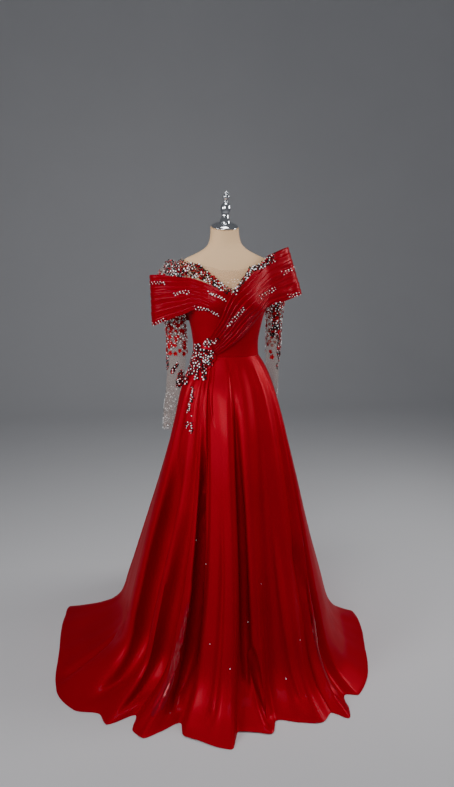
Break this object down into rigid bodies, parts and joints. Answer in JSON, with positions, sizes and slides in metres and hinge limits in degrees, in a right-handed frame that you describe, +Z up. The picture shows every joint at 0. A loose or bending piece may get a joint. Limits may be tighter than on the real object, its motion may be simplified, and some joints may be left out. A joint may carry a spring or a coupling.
{
  "type": "evening dress on a limbless dress form",
  "caption": "Floor-length satin evening dress with pleated off-shoulder drapes, sheer net yoke and long net sleeves, standing on a limbless dress form with a chrome neck finial.",
  "frame": {"origin": "centre of the underside of the stand's base, on the floor under the form's axis", "axes": "+Z up, front of the dress towards -Y, wearer's left towards +X"},
  "size_m": [1.1957, 1.2908, 1.6782],
  "materials": {
    "satin": "glossy deep red satin",
    "net": "sheer skin-toned net",
    "crystal": "cut crystals set in clusters",
    "form_cover": "smooth stretch cover",
    "chrome": "polished",
    "stand": "brushed"
  },
  "bodies": {
    "root": {"bodice_front": "satin", "bodice_back_left": "satin", "bodice_back_right": "satin", "drape_right": "satin", "drape_left": "satin", "yoke_front": "net", "yoke_back_left": "net", "yoke_back_right": "net", "sleeve_right": "net", "sleeve_left": "net", "skirt_front": "satin", "skirt_side_right": "satin", "skirt_side_left": "satin", "skirt_back_right": "satin", "skirt_back_left": "satin", "hip_ornament": "crystal", "form_torso": "form_cover", "neck_cap": "chrome", "neck_finial": "chrome", "stand_pole": "stand", "stand_base": "stand"}
  },
  "joints": []
}
